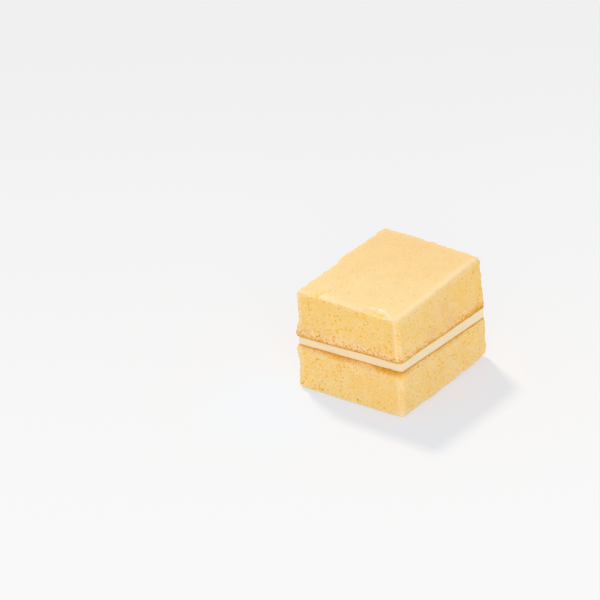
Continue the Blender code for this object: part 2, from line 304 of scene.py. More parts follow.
def tree_of(points):
    tree = kdtree.KDTree(len(points))
    for number, point in enumerate(points.tolist()):
        tree.insert(point, number)
    tree.balance()
    return tree


def dab_heights(skin, dabs):
    """How high round dabs stand on the skin. A dab is (middle, radius, height, stretch, way)."""
    tree = tree_of(skin.points)
    heights = np.zeros(len(skin.points))
    for middle, radius, height, stretch, way in dabs:
        for point, number, _ in tree.find_range(middle, radius * stretch):
            offset = point - middle
            along = offset.dot(way)
            across = (offset - way * along).length
            away = math.hypot(along / (radius * stretch), across / radius)
            if away < 1:
                heights[number] = max(heights[number], height * (1 - away * away) ** 1.5)
    return heights


DAB_SPREAD = 0.45  # how unlike in size the scattered dabs are
DAB_HEIGHTS = (0.2, 0.5)  # as shares of the radius
DAB_STRETCH = (1.0, 1.7)
PLACED_HEIGHT = 0.5
PLACED_STRETCH = (1.0, 1.5)


def draw_way(draw, slope):
    """The direction in which a dab is drawn out, near the level."""
    way = Vector((draw.uniform(-1, 1), draw.uniform(-1, 1), draw.uniform(-slope, slope)))
    return way.normalized()


def scatter_dabs(skin, chance, per_cm2, radii, draw):
    """Draws dabs over the skin. chance is each point's own share of the full density."""
    cells = LATTICE * LATTICE / 100  # square centimetres to a point
    number = int(chance.sum() * cells * per_cm2)
    dabs = []
    for pick in draw.choices(range(len(skin.points)), chance.tolist(), k=number):
        radius = min(radii[1], radii[0] * math.exp(abs(draw.gauss(0, DAB_SPREAD))))
        way = draw_way(draw, 0.4)
        height = radius * draw.uniform(*DAB_HEIGHTS)
        dabs.append((Vector(skin.points[pick]), radius, height, draw.uniform(*DAB_STRETCH), way))
    return dabs


def dabs_at(skin, places, draw):
    """Dabs at places of their own, (x, y, z, radius), each moved onto the skin."""
    tree = tree_of(skin.points)
    dabs = []
    for x, y, z, radius in places:
        middle, _, _ = tree.find(Vector((x, y, z)))
        way = draw_way(draw, 0.3)
        dabs.append((middle, radius, radius * PLACED_HEIGHT, draw.uniform(*PLACED_STRETCH), way))
    return dabs


def new_object(name, data):
    item = bpy.data.objects.new(name, data)
    bpy.context.scene.collection.objects.link(item)
    return item


def make_object(name, skin, **layers):
    """Makes the mesh object, in metres, with one value a point for each of the named layers."""
    mesh = bpy.data.meshes.new(name)
    mesh.from_pydata((skin.points * MM).tolist(), [], skin.facets)
    mesh.shade_smooth()
    for title, values in layers.items():
        layer = mesh.attributes.new(title, "FLOAT", "POINT")
        layer.data.foreach_set("value", np.asarray(values, dtype=np.float32))
    return new_object(name, mesh)


PORE_SIZES = (0.2, 0.5)  # smallest and largest radius of the scattered pores
WALL_PORES = 17.0  # to each square centimetre
TOP_PORE_DEPTH = 0.4  # beside those of the cut walls
RIM_PORES = 1.0  # how many more there are at the rim
CRUMB_SIZES = (0.3, 0.7)
EDGE_CRUMBS = 22.0  # to each square centimetre
CRUMB_RISE = 0.6
RIM_REACH = 1.6  # the coarse crumb of the rim dies out this far from the cream
COVER_START = 0.3  # the cream covers the browned face from this far in

# Relief of the crumb: the size of its bubbles, grain and lumps, and how high each stands on the
# faces, on ragged edges and at the rim.
BUBBLE_SIZE = 1.1
GRAIN_SIZE = 0.66
LUMP_SIZE = 1.9
BUBBLE_RELIEF = (0.05, 0.24, 0.14)
GRAIN_RELIEF = (0.04, 0.12, 0.08)
LUMP_RELIEF = (0.1, 0.34, 0.0)
TOP_RELIEF = 0.4  # how rough the peeled top is, beside the cut walls


def crumb_relief(skin, ragged, rim):
    """How far the crumb stands out, and how deep its bubbles are, for their painted shade."""
    face = skin.out + TOP_RELIEF * skin.up
    bubbles = foam(skin.points, BUBBLE_SIZE)
    patterns = (
        (bubbles, BUBBLE_RELIEF),
        (foam(skin.points + 40.0, GRAIN_SIZE), GRAIN_RELIEF),
        (perlin(skin.points, LUMP_SIZE, 31.0), LUMP_RELIEF),
    )
    relief = sum(
        pattern * (on_face * face + on_edge * ragged + at_rim * rim)
        for pattern, (on_face, on_edge, at_rim) in patterns)
    return relief, np.clip(-bubbles, 0, 1) * face


HANG_REACH = 1.2  # height of the rim's part that can hang


def hang_rim(skin, layer):
    """Lets the rim's torn crumbs hang over the cream here and there, as on the real slice."""
    foot = np.clip(1 - skin.share * mean_height(layer) / HANG_REACH, 0, 1) * skin.out
    plan = skin.points * np.array((1, 1, 0))
    wander = perlin(plan, 1.7, 7.0) + 0.7 * perlin(plan, 0.8, 17.0)
    skin.points[:, 2] -= layer.hang * foot * np.clip(wander + 0.1, 0, 1)


def finish_sponge(name, layer, from_cream, marks):
    """Makes one block of sponge: skin, marks, pores, crumbs and relief, in that order."""
    draw = random.Random(layer.seed)
    skin = skin_of(layer)
    ragged = ragged_edges(skin)
    away = from_cream(skin)
    rim = np.exp(-np.maximum(away, 0) / RIM_REACH) * skin.out
    covered = skin.on_roof & (skin.start > COVER_START) & ("roof" in layer.hidden)
    shown = np.clip(skin.out + skin.up, 0, 1) * ~covered
    own_marks = marks(skin, away)
    pore_chance = shown * (skin.out * (1 + RIM_PORES * rim) + layer.top_pores * skin.up)
    pores = scatter_dabs(skin, pore_chance, WALL_PORES, PORE_SIZES, draw)
    pores += dabs_at(skin, layer.large_pores, draw)
    crumb_chance = shown * np.clip(ragged * 1.6 - 0.4 + rim, 0, 1)
    crumbs = scatter_dabs(skin, crumb_chance, EDGE_CRUMBS, CRUMB_SIZES, draw)
    sunk = dab_heights(skin, pores) * (1 - (1 - TOP_PORE_DEPTH) * skin.up)
    raised = CRUMB_RISE * dab_heights(skin, crumbs)
    relief, hollow = crumb_relief(skin, ragged, rim)
    if layer.hang:
        hang_rim(skin, layer)
    skin.points += skin.direction * (relief * shown - sunk + raised)[:, None]
    skin.points[:, 2] = np.maximum(skin.points[:, 2], 0.0)
    return make_object(
        name, skin,
        # each dent's depth, which the finish tints as painted shade
        pore=sunk,
        hollow=hollow,
        worn=worn_light(skin, layer) * shown,
        from_cream=away,
        peeled_top=skin.up * (layer.roof == "top"),
        **own_marks,
    )


# How pale the edges are, by side: a soft band along the top's edge, partly paler scuffed skin and
# partly painted highlight, its middle so far in from the edge and so wide, and a thin line of
# painted highlight beside each upright corner, on its X side.
BAND_PALENESS = {"-X": 0.8, "+X": 0.3, "-Y": 0.8, "+Y": 0.3}
BAND_INSET = {"-X": 1.0, "+X": 1.0, "-Y": 0.6, "+Y": 1.0}
BAND_WIDTH = {"-X": 2.2, "+X": 2.0, "-Y": 2.4, "+Y": 2.0}
LINE_WIDTH = 0.62
# Its uneven patches break up both the paler scuffed skin and the painted highlight.
PALE_PATCH_SIZE = 2.2  # how large the uneven patches of the rubbing are


def from_top_edge(skin, layer):
    """Distance in from the middle of the top's edge, along the top; below 0 down the wall."""
    return skin.start - (1 - skin.share) * mean_height(layer)


def worn_light(skin, layer):
    """Where the skin is paler, from 0 to 1: a band along the top's edge, partly scuffed skin and partly
    painted highlight, and painted highlight down each upright corner and on the pale spots.
    """
    uneven = perlin(skin.points, PALE_PATCH_SIZE, 50.0)
    inward = from_top_edge(skin, layer)
    offset = (inward - side_mix(BAND_INSET, skin.outward)) / side_mix(BAND_WIDTH, skin.outward)
    band = np.exp(-offset ** 2) * side_mix(BAND_PALENESS, skin.outward) * (layer.roof == "top")
    band *= (1 + 0.5 * uneven) * np.clip(1 + 0.4 * inward, 0, 1)
    line = np.exp(-((skin.from_corner - layer.line_at) / LINE_WIDTH) ** 2) * skin.out
    line *= layer.line_paleness * np.clip(1 + 0.7 * uneven, 0, 1.2) * np.clip(0.6 + skin.share, 0, 1)
    for x, y, z, radius, strength in layer.pale_spots:
        spot = spot_at(skin.points, (x, y, z), radius)
        line = np.maximum(line, strength * spot * (1 + 0.6 * uneven))
    return np.clip(np.maximum(band, line), 0, 1)


def rim_mask(skin, away, patches, fade):
    """Patches along the rim, from 0 to 1: each has its side, middle, half length, reach, strength."""
    mask = np.zeros(len(skin.points))
    for side, middle, half_length, reach, strength in patches:
        along = skin.points[:, 1] if side in ("-X", "+X") else skin.points[:, 0]
        faces = skin.direction @ np.array(SIDES[side])
        window = np.clip(1 - ((along - middle) / half_length) ** 2, 0, 1)
        spread = np.exp(-(np.maximum(away, 0) / reach) ** fade)
        mask = np.maximum(mask, strength * window * spread * np.clip(faces, 0, 1))
    return mask


def new_layer(**own):
    """One layer of the slice. What it doesn't state is plain.

    wall is the side wall from the floor up: share of the height, how far it stands out. The
    floor's edges are rounded further by floor_wear at the corners and by floor_bites along the
    -Y edge: middle, half width, extra radius.
    """
    plain = {
        "floor_wear": {},
        "floor_bites": (),
        "floor_lift": 0.0,
        "roof_lift": 0.0,
        "lip": dict.fromkeys(SIDES, 0.0),
        "crown": 0.0,
        "inset": 0.0,
        "wall_swells": 1.0,
        "roof_swells": 0.0,
        "top_pores": 0.0,
        "hang": 0.0,
    }
    return SimpleNamespace(**(plain | own))


def add(tree, kind, values=None, **settings):
    """Adds a shader node. values sets its sockets, by name or number, to a constant or a link."""
    made = tree.nodes.new("ShaderNode" + kind)
    for title, value in settings.items():
        setattr(made, title, value)
    for socket, value in (values or {}).items():
        if isinstance(value, bpy.types.NodeSocket):
            tree.links.new(value, made.inputs[socket])
        else:
            made.inputs[socket].default_value = value
    return made


def math_node(tree, operation, a, b=0.0):
    return add(tree, "Math", {0: a, 1: b}, operation=operation).outputs[0]


def times(tree, a, b):
    return math_node(tree, "MULTIPLY", a, b)


def vector_node(tree, operation, a, b):
    return add(tree, "VectorMath", {0: a, 1: b}, operation=operation).outputs


def mix_colour(tree, share, a, b):
    return add(tree, "Mix", {0: share, 6: a, 7: b}, data_type="RGBA").outputs[2]


def ramp(tree, value, start, end, low=0.0, high=1.0):
    """Runs smoothly from low to high while value runs from start to end."""
    sockets = {"Value": value, "From Min": start, "From Max": end, "To Min": low, "To Max": high}
    return add(tree, "MapRange", sockets, interpolation_type="SMOOTHSTEP").outputs[0]


def colour(red, green, blue):
    """A colour from the screen's scale of 0 to 255, in linear light."""
    levels = [level / 255 for level in (red, green, blue)]
    return [c / 12.92 if c <= 0.04045 else ((c + 0.055) / 1.055) ** 2.4 for c in levels] + [1.0]


def open_group(name, inputs):
    """A new node group and its number inputs. inputs holds their defaults."""
    tree = bpy.data.node_groups.new(name, "ShaderNodeTree")
    for title, default in inputs.items():
        socket = tree.interface.new_socket(title, in_out="INPUT", socket_type="NodeSocketFloat")
        socket.default_value = default
    return tree, tree.nodes.new("NodeGroupInput").outputs


def close_group(tree, masks):
    """Puts the masks made in a node group out of it, as numbers."""
    for title in masks:
        tree.interface.new_socket(title, in_out="OUTPUT", socket_type="NodeSocketFloat")
    leave = tree.nodes.new("NodeGroupOutput")
    for title, mask in masks.items():
        tree.links.new(mask, leave.inputs[title])
    return tree


def place_group(tree, group, values):
    return add(tree, "Group", values, node_tree=group).outputs


def point_value(tree, title):
    return add(tree, "Attribute", attribute_name=title).outputs["Fac"]


def in_millimetres(tree):
    """Where the shaded point lies in the object's own axes, in millimetres."""
    where = add(tree, "TexCoord").outputs["Object"]
    return add(tree, "VectorMath", {0: where, 3: 1 / MM}, operation="SCALE").outputs[0]


def clouds(tree, where, scale, detail, roughness=0.5):
    """Soft noise, as a number and as a colour."""
    sockets = {"Vector": where, "Scale": scale, "Detail": detail, "Roughness": roughness}
    return add(tree, "TexNoise", sockets).outputs


def dots_node(tree, where, size, share):
    """Round dots scattered on a share of the cells of a lattice, each with its own radius."""
    scale = math_node(tree, "DIVIDE", 1.0, size)
    cells = add(tree, "TexVoronoi", {"Vector": where, "Scale": scale}, feature="F1")
    pick = add(tree, "SeparateColor", {0: cells.outputs["Color"]}).outputs[0]
    chosen = math_node(tree, "LESS_THAN", pick, share)
    smaller = math_node(tree, "DIVIDE", pick, share)
    radius = ramp(tree, smaller, 0.0, 1.0, 0.46, 0.2)
    near = math_node(tree, "DIVIDE", cells.outputs["Distance"], radius)
    return times(tree, ramp(tree, near, 1.0, 0.3), chosen)


def open_crumb_group():
    """Fine structure of chiffon: pinholes, larger specks, grain and patches, and their height."""
    tree, given = open_group("open_crumb", {
        "Hole Size": 0.7, "Hole Share": 0.4, "Speck Size": 1.6, "Speck Share": 0.3,
        "Grain Size": 0.5, "Patch Size": 9.0,
    })
    where = in_millimetres(tree)
    warp = clouds(tree, where, 1.3, 1.0)["Color"]
    warped = add(tree, "VectorMath", {0: warp, 3: 0.6}, operation="SCALE").outputs[0]
    bent = vector_node(tree, "ADD", where, warped)[0]
    holes = dots_node(tree, bent, given["Hole Size"], given["Hole Share"])
    specks = dots_node(tree, bent, given["Speck Size"], given["Speck Share"])
    grain_scale = math_node(tree, "DIVIDE", 1.0, given["Grain Size"])
    grain = clouds(tree, where, grain_scale, 2.0, 0.6)["Fac"]
    patch_scale = math_node(tree, "DIVIDE", 1.0, given["Patch Size"])
    pits = math_node(tree, "MAXIMUM", holes, specks)
    return close_group(tree, {
        "Holes": holes,
        "Specks": specks,
        "Grain": grain,
        "Patches": clouds(tree, where, patch_scale, 3.0, 0.6)["Fac"],
        "Height": math_node(tree, "SUBTRACT", grain, times(tree, pits, 0.7)),
    })


def baked_rim_group():
    """The browned skin beside the cream: its line, the toasted crumb behind it, and its pits."""
    tree, given = open_group(
        "baked_rim", {"Line Width": 0.4, "Toast Width": 0.9, "Ragged": 1.0, "Pit Reach": 3.6})
    where = in_millimetres(tree)
    coarse = clouds(tree, where, 0.3, 2.0)["Fac"]
    fine = clouds(tree, where, 1.5, 2.0)["Fac"]
    both = math_node(tree, "ADD", coarse, times(tree, fine, 1.6))
    wander = times(tree, math_node(tree, "SUBTRACT", both, 1.3), given["Ragged"])
    uneven = math_node(tree, "ADD", point_value(tree, "from_cream"), wander)
    broken = ramp(tree, coarse, 0.35, 0.6, 0.7, 1.0)
    line_at = math_node(tree, "DIVIDE", uneven, given["Line Width"])
    toast_at = math_node(tree, "DIVIDE", uneven, given["Toast Width"])
    blush = times(tree, point_value(tree, "blush"), ramp(tree, coarse, 0.3, 0.6, 0.6, 1.0))
    flat = vector_node(tree, "MULTIPLY", where, (0.6, 0.75, 1.1))[0]
    pit_at = math_node(tree, "DIVIDE", uneven, given["Pit Reach"])
    level = ramp(tree, pit_at, 0.2, 1.0, 0.51, 0.6)
    over = math_node(tree, "SUBTRACT", clouds(tree, flat, 1.2, 2.0, 0.6)["Fac"], level)
    return close_group(tree, {
        "Line": times(tree, ramp(tree, line_at, 1.2, 0.8), broken),
        "Clumps": ramp(tree, fine, 0.45, 0.62),
        "Toast": times(tree, ramp(tree, toast_at, 1.3, 0.4), broken),
        "Blush": blush,
        "Mottle": ramp(tree, clouds(tree, flat, 1.4, 2.0, 0.6)["Fac"], 0.42, 0.58),
        "Pits": times(tree, ramp(tree, over, 0.0, 0.04), ramp(tree, blush, 0.05, 0.4)),
        "Depth": ramp(tree, over, 0.02, 0.12),
        "Smear": times(tree, point_value(tree, "smear"), ramp(tree, fine, 0.3, 0.65, 0.5, 1.35)),
    })


OPEN_CRUMB = open_crumb_group()
BAKED_RIM = baked_rim_group()

CRUMB_PALE = colour(255, 216, 148)
CRUMB_DEEP = colour(255, 208, 126)
CRUMB_LIGHT = colour(255, 225, 180)
GRAIN_SHADE = colour(249, 192, 80)
HOLE_SHADE = colour(248, 188, 64)
SPECK_SHADE = colour(244, 180, 36)
GOLDEN = colour(255, 204, 106)
# Pale of the edges, partly painted highlight, and of the peeled strip.
EDGE_PALE = colour(255, 223, 174)
BLUSH = colour(250, 224, 197)
BLUSH_DEEP = colour(246, 203, 142)
TOAST = colour(238, 180, 84)
RIM_PIT = colour(242, 176, 74)
RIM_PIT_DEEP = colour(214, 140, 36)
CRUST_PORE = colour(190, 118, 34)
SMEAR_BROWN = colour(226, 160, 24)
CRUMB_BUMP = {"Strength": 0.5, "Distance": 0.12 * MM}
CRUMB_FINISH = {
    "Roughness": 0.85,
    "Specular IOR Level": 0.15,
    "Subsurface Weight": 0.5,
    "Subsurface Radius": (1.0, 0.8, 0.55),  # red light travels furthest in the crumb
    "Subsurface Scale": 1.1 * MM,
}


def new_material(name, finish):
    """A material, its nodes and its shader. finish holds the shader's constants."""
    material = bpy.data.materials.new(name)
    material.use_nodes = True
    shader = material.node_tree.nodes["Principled BSDF"]
    for socket, value in finish.items():
        shader.inputs[socket].default_value = value
    return material, material.node_tree, shader


def lay_tints(tree, shade, tints):
    """Lays tints over a colour, one after the other. A tint is (where it shows, strength, colour)."""
    for where, strength, tint in tints:
        shade = mix_colour(tree, times(tree, where, strength), shade, tint)
    return shade


def sponge_material(name, rim_values, crust_colours, pore_shade_colour, own_tints=None):
    """Chiffon crumb: pale yellow, with painted shade deeper in its pores and bubbles, pale along the
    edges and corners, partly painted highlight, brown at the rim.

    own_tints gives the tints of one sponge alone, those below the crumb's and those above them.
    """
    material, tree, shader = new_material(name, CRUMB_FINISH)
    top = point_value(tree, "peeled_top")
    crumb = place_group(tree, OPEN_CRUMB, {
        "Hole Share": ramp(tree, top, 0.0, 1.0, 0.4, 0.3),
        "Speck Share": ramp(tree, top, 0.0, 1.0, 0.44, 0.24),
    })
    rim = place_group(tree, BAKED_RIM, rim_values)
    below, above = own_tints(tree, crumb, rim) if own_tints else ([], [])
    rough = ramp(tree, top, 0.0, 1.0, 1.0, 0.55)  # the peeled top is smoother
    deep_grain = times(tree, ramp(tree, crumb["Grain"], 0.48, 0.32), rough)
    light_grain = times(tree, ramp(tree, crumb["Grain"], 0.5, 0.66), rough)
    clustered = ramp(tree, crumb["Patches"], 0.38, 0.6, 1.15, 0.8)
    specks = times(tree, times(tree, crumb["Specks"], clustered), rough)
    # Paleness of the edges and corners, partly painted highlight, kept off the peeled strip.
    paleness_and_highlight = times(tree, point_value(tree, "worn"), 0.88)
    unpeeled = math_node(tree, "SUBTRACT", paleness_and_highlight, point_value(tree, "peeled"))
    # Painted shade in the pores, deeper as the dent deepens; toward the rim it turns to the brown of
    # the crust's pores.
    pores = times(tree, ramp(tree, point_value(tree, "pore"), 0.02, 0.24), rough)
    crumb_tints = [
        (point_value(tree, "golden"), 0.8, GOLDEN),
        (rim["Blush"], 1.0, mix_colour(tree, rim["Mottle"], BLUSH_DEEP, BLUSH)),
        (deep_grain, 0.75, GRAIN_SHADE),
        (light_grain, 0.7, CRUMB_LIGHT),
        # Painted shade: a deeper tint down in the bubbles of the relief.
        (point_value(tree, "hollow"), 0.3, HOLE_SHADE),
        (times(tree, crumb["Holes"], rough), 0.8, HOLE_SHADE),
        (specks, 1.0, SPECK_SHADE),
        (unpeeled, 1.0, EDGE_PALE),
        (rim["Toast"], 0.5, TOAST),
        (rim["Pits"], 0.95, mix_colour(tree, rim["Depth"], RIM_PIT, RIM_PIT_DEEP)),
        (pores, 0.9, mix_colour(tree, rim["Toast"], pore_shade_colour, CRUST_PORE)),
    ]
    crust_tints = [
        (rim["Smear"], 1.0, SMEAR_BROWN),
        (rim["Line"], 1.0, mix_colour(tree, rim["Clumps"], *crust_colours)),
    ]
    shade = mix_colour(tree, ramp(tree, crumb["Patches"], 0.36, 0.64), CRUMB_DEEP, CRUMB_PALE)
    shade = lay_tints(tree, shade, below + crumb_tints + above + crust_tints)
    bump = add(tree, "Bump", {**CRUMB_BUMP, "Height": crumb["Height"]})
    tree.links.new(shade, shader.inputs["Base Color"])
    tree.links.new(bump.outputs[0], shader.inputs["Normal"])
    return material


# The largest pores, where the real slice has them: x, y, z, radius.
LOWER_LARGE_PORES = (
    (-31.5, 24.2, 2.2, 0.75),
    (-31.5, 17.5, 1.8, 0.6),
    (-31.5, 14.0, 1.9, 0.8),
    (-31.5, -3.8, 2.6, 0.85),
    (-31.5, -14.4, 4.8, 0.6),
    (-31.5, -16.8, 2.8, 0.65),
    (-31.5, -8.3, 1.0, 0.55),
    (-31.5, 4.0, 8.7, 0.55),
    (-31.5, 2.0, 18.1, 0.5),
    (-31.5, -20.4, 5.7, 0.45),
    (12.6, -25.5, 2.6, 0.75),
    (11.8, -25.5, 0.9, 0.8),
    (8.8, -25.5, 0.7, 0.7),
    (-15.0, -25.5, 1.0, 0.6),
    (-18.0, -25.5, 8.5, 0.45),
)

# Brown skin dragged down the wall by the knife, and the pinker, coarser crumb beside the rim:
# side, middle, half length, reach, strength.
LOWER_SMEARS = (
    ("-X", 3.0, 14.0, 1.2, 0.75),
    ("-X", 5.5, 5.5, 1.7, 0.8),
    ("-X", -19.5, 11.0, 1.6, 1.15),
    ("-X", 18.0, 14.0, 0.9, 0.45),
    ("-Y", -29.5, 5.0, 1.0, 0.6),
    ("-Y", 4.0, 14.0, 1.0, 0.35),
    ("+X", -6.0, 15.0, 1.5, 0.7),
    ("+X", 19.0, 10.0, 1.0, 0.5),
    ("+Y", -18.0, 14.0, 1.6, 0.8),
    ("+Y", 12.0, 16.0, 1.1, 0.5),
)
LOWER_BLUSHES = (
    ("-X", -8.0, 18.0, 4.5, 0.45),
    ("-X", 16.0, 9.0, 2.6, 0.35),
    ("-Y", -17.0, 14.0, 3.6, 0.4),
    ("-Y", 6.0, 9.0, 3.0, 0.35),
    ("+X", 4.0, 20.0, 3.6, 0.4),
    ("+Y", -14.0, 18.0, 4.0, 0.4),
    ("+Y", 16.0, 12.0, 3.0, 0.35),
)
LOWER_SMEAR_FADE = 2.6
BLUSH_FADE = 3.0
LOWER = new_layer(
    floor="underside",
    roof="cream_floor",
    hidden=("floor", "roof"),
    corners=SPONGE_CORNERS,
    floor_edges={"-X": 1.4, "+X": 2.4, "-Y": 1.3, "+Y": 1.6},
    floor_wear={"near": 0.7, "left": 0.0, "right": 3.1, "far": 1.0},
    floor_bites=((-15.8, 1.3, 1.2), (12.6, 1.7, 1.4), (-2.0, 2.4, 0.7)),
    roof_edges=CRUST_EDGES,
    roof_lift=CREAM_CONTACT,
    wall=((0.0, -0.3), (0.2, 0.0), (0.55, 0.05), (0.8, 0.6), (0.9, 0.9), (1.0, -0.2)),
    seed=11,
    large_pores=LOWER_LARGE_PORES,
    # line_at, line_paleness and pale_spots: the painted highlight down the upright corners.
    line_at=1.8,
    line_paleness=0.75,
    pale_spots=(
        (-31.2, -24.6, 16.4, 2.2, 0.75),
        (-31.6, 25.4, 18.0, 1.8, 0.6),
        (-31.0, -25.4, 1.4, 3.6, 1.0),
    ),
)
LOWER_RIM = {"Line Width": 0.42, "Toast Width": 0.4, "Ragged": 0.4, "Pit Reach": 1.3}
LOWER_CRUST = (colour(236, 172, 70), colour(220, 148, 46))
# Painted shade of the lower sponge's pores.
LOWER_PORE_SHADE = colour(230, 184, 44)


def lower_from_cream(skin):
    return (1 - skin.share) * mean_height(LOWER) - np.where(skin.on_roof, skin.start, 0)


def lower_marks(skin, away):
    """A golden near corner, the brown smears and the pinker crumb. Nothing is peeled off here."""
    near = spot_at(skin.points[:, :2], (-LENGTH / 2, -WIDTH / 2), 6)
    on_left = np.clip(-3.3 * skin.direction[:, 0] - 2.3, 0, 1)
    return {
        "golden": np.maximum(1.1 * near, 0.15) * on_left,
        "smear": rim_mask(skin, away, LOWER_SMEARS, LOWER_SMEAR_FADE),
        "blush": rim_mask(skin, away, LOWER_BLUSHES, BLUSH_FADE),
        "peeled": np.zeros(len(away)),
    }


lower_sponge = finish_sponge("lower_sponge_crumb", LOWER, lower_from_cream, lower_marks)
lower_sponge.data.materials.append(sponge_material("chiffon_lower", LOWER_RIM, LOWER_CRUST, LOWER_PORE_SHADE))
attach(lower_sponge, "root")
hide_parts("lower_sponge")

# ------------------------------------------------------------------------------
# Cream filling. A set cream spread as one flat band about 4 mm thick and cut with the slice: the
# knife leaves it smooth, a little behind the sponge, with faint level streaks.
CREAM_EDGES = dict.fromkeys(SIDES, 0.12)
CREAM = new_layer(
    floor="cream_floor",
    roof="cream_roof",
    hidden=("floor", "roof"),
    corners={"near": 1.9, "left": 0.9, "right": 1.2, "far": 1.2},
    floor_edges=CREAM_EDGES,
    roof_edges=CREAM_EDGES,
    wall=((0.0, 0.0), (1.0, 0.0)),
    inset=0.35,
    wall_swells=0.35,
)
CUT_MARKS = 0.06  # height of the knife's level marks
STAIN_WIDTH = 0.16
CREAM_PALE = colour(255, 232, 196)
CREAM_STREAK = colour(252, 226, 186)
CREAM_STAIN = colour(244, 182, 84)  # where it touches the browned skins
# Painted shade, laid on the cream's upright corners and on its whole -X side.
CREAM_PAINTED_SHADE = colour(248, 216, 172)
CREAM_BUMP = {"Strength": 0.3, "Distance": 0.1 * MM}
CREAM_FINISH = {
    "Roughness": 0.5,
    "Specular IOR Level": 0.3,
    "Subsurface Weight": 0.6,
    "Subsurface Radius": (1.0, 0.8, 0.6),
    "Subsurface Scale": 0.9 * MM,
}


def cream_material():
    """Set cream: smooth and softly shining, with faint streaks along the cut, and painted shade on its
    upright corners and its -X side.
    """
    material, tree, shader = new_material("set_cream", CREAM_FINISH)
    where = in_millimetres(tree)
    flat = vector_node(tree, "MULTIPLY", where, (0.12, 0.12, 2.2))[0]
    streaks = clouds(tree, flat, 1.0, 3.0)["Fac"]
    shade = mix_colour(tree, ramp(tree, streaks, 0.35, 0.65), CREAM_STREAK, CREAM_PALE)
    shade = lay_tints(tree, shade, [
        (point_value(tree, "deeper"), 0.8, CREAM_PAINTED_SHADE),
        (point_value(tree, "stained"), 1.0, CREAM_STAIN),
    ])
    bump = add(tree, "Bump", {**CREAM_BUMP, "Height": streaks})
    tree.links.new(shade, shader.inputs["Base Color"])
    tree.links.new(bump.outputs[0], shader.inputs["Normal"])
    return material


cream_skin = skin_of(CREAM)
cut_marks = perlin(cream_skin.points * np.array((0.25, 0.25, 1.6)), 1.0, 80.0)
cream_skin.points += cream_skin.direction * (CUT_MARKS * cut_marks * cream_skin.out)[:, None]
to_sponge = np.minimum(cream_skin.share, 1 - cream_skin.share) * mean_height(CREAM)
cream = make_object(
    "cream_band", cream_skin,
    stained=np.clip(1 - to_sponge / STAIN_WIDTH, 0, 1),
    # deeper holds painted shade: the cream darker on its upright corners and on its whole -X side.
    deeper=np.maximum(on_corner(cream_skin.outward), 0.45 * (cream_skin.outward[:, 0] < -0.6)),
)
cream.data.materials.append(cream_material())
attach(cream, "root")
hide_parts("cream_filling")

# ------------------------------------------------------------------------------
# Upper sponge. The same sheet of chiffon the other way up: its browned skin lies down on the
# cream, and its pale top, where the lining paper was peeled off, is matt and fine-pored. The
# knife left a crease and a lifted flap of skin along the -X edge.
# The largest pores, where the real slice has them: x, y, z, radius.
UPPER_LARGE_PORES = (
    (23.6, -25.5, 43.0, 0.95),
    (21.3, -25.5, 41.2, 0.6),
    (-32.0, 19.2, 41.2, 0.5),
    (-32.0, 3.6, 42.8, 0.55),
    (-32.0, -3.3, 41.9, 0.45),
    (-32.0, -5.8, 43.1, 0.5),
    (-32.0, -21.5, 30.3, 0.6),
    (-32.0, -16.5, 44.3, 0.7),
    (-29.6, -16.0, 45.2, 0.5),
    (-32.0, -11.7, 29.3, 0.5),
    (-32.0, 12.4, 25.9, 0.55),
    (-32.0, 1.7, 28.2, 0.45),
    (-9.8, -26.0, 38.3, 0.45),
    (-14.0, -26.0, 39.7, 0.4),
    (31.0, -25.4, 27.2, 0.7),
    (31.2, -25.0, 29.4, 0.5),
)
UPPER_CRUST = (colour(228, 162, 52), colour(204, 128, 26))
# Painted shade of the upper sponge's pores.
UPPER_PORE_SHADE = colour(240, 179, 24)
# The top is paler to the -X side and deeper to the far corner: a painted fall-off of the light across
# it.
TOP_PALE = colour(251, 218, 158)
TOP_DEEP = colour(242, 204, 142)
TOP_WAY = (0.95, 0.15, 0.0)  # the top's tone deepens this way, to the far corner
TOP_SPAN = (-34.0, 34.0)
DUSK = colour(238, 190, 126)
# Pale of the torn skin's rim, partly a painted highlight on its raised edge.
SKIN_PALE_HIGHLIGHT = colour(255, 238, 206)
# Yellow of the crease, partly painted shade under its raised lip.
CREASE_YELLOW_SHADE = colour(252, 198, 30)
UPPER_SMEARS = (
    ("-Y", 26.5, 13.0, 2.6, 0.9),
    ("-Y", 4.6, 2.2, 1.5, 1.5),
    ("-Y", -2.6, 1.8, 1.3, 1.3),
    ("-Y", -9.6, 2.2, 1.5, 1.3),
    ("-Y", -19.8, 2.0, 1.9, 1.6),
    ("-Y", -26.0, 2.0, 1.5, 1.2),
    ("-Y", -20.0, 14.0, 0.8, 0.6),
    ("-Y", 12.0, 5.0, 1.0, 0.8),
    ("-Y", 31.0, 2.5, 4.0, 0.5),
    ("-X", 21.0, 9.0, 1.8, 0.6),
    ("-X", 12.6, 1.5, 2.2, 0.9),
    ("-X", -4.0, 30.0, 1.4, 0.3),
    ("+X", -14.0, 12.0, 1.7, 0.9),
    ("+X", 12.0, 12.0, 1.4, 0.6),
    ("+Y", -20.0, 13.0, 1.8, 0.8),
    ("+Y", 6.0, 7.0, 1.5, 1.1),
    ("+Y", 22.0, 10.0, 1.4, 0.7),
)
UPPER_SMEAR_FADE = 1.8
UPPER_BLUSHES = (
    ("-X", -4.0, 34.0, 4.8, 1.0),
    ("-X", 20.0, 16.0, 5.4, 0.9),
    ("-Y", -18.0, 20.0, 4.0, 0.6),
    ("-Y", 16.0, 22.0, 6.5, 0.4),
    ("+X", 2.0, 30.0, 5.0, 0.8),
    ("+Y", -14.0, 22.0, 5.0, 0.8),
    ("+Y", 18.0, 20.0, 4.4, 0.6),
)
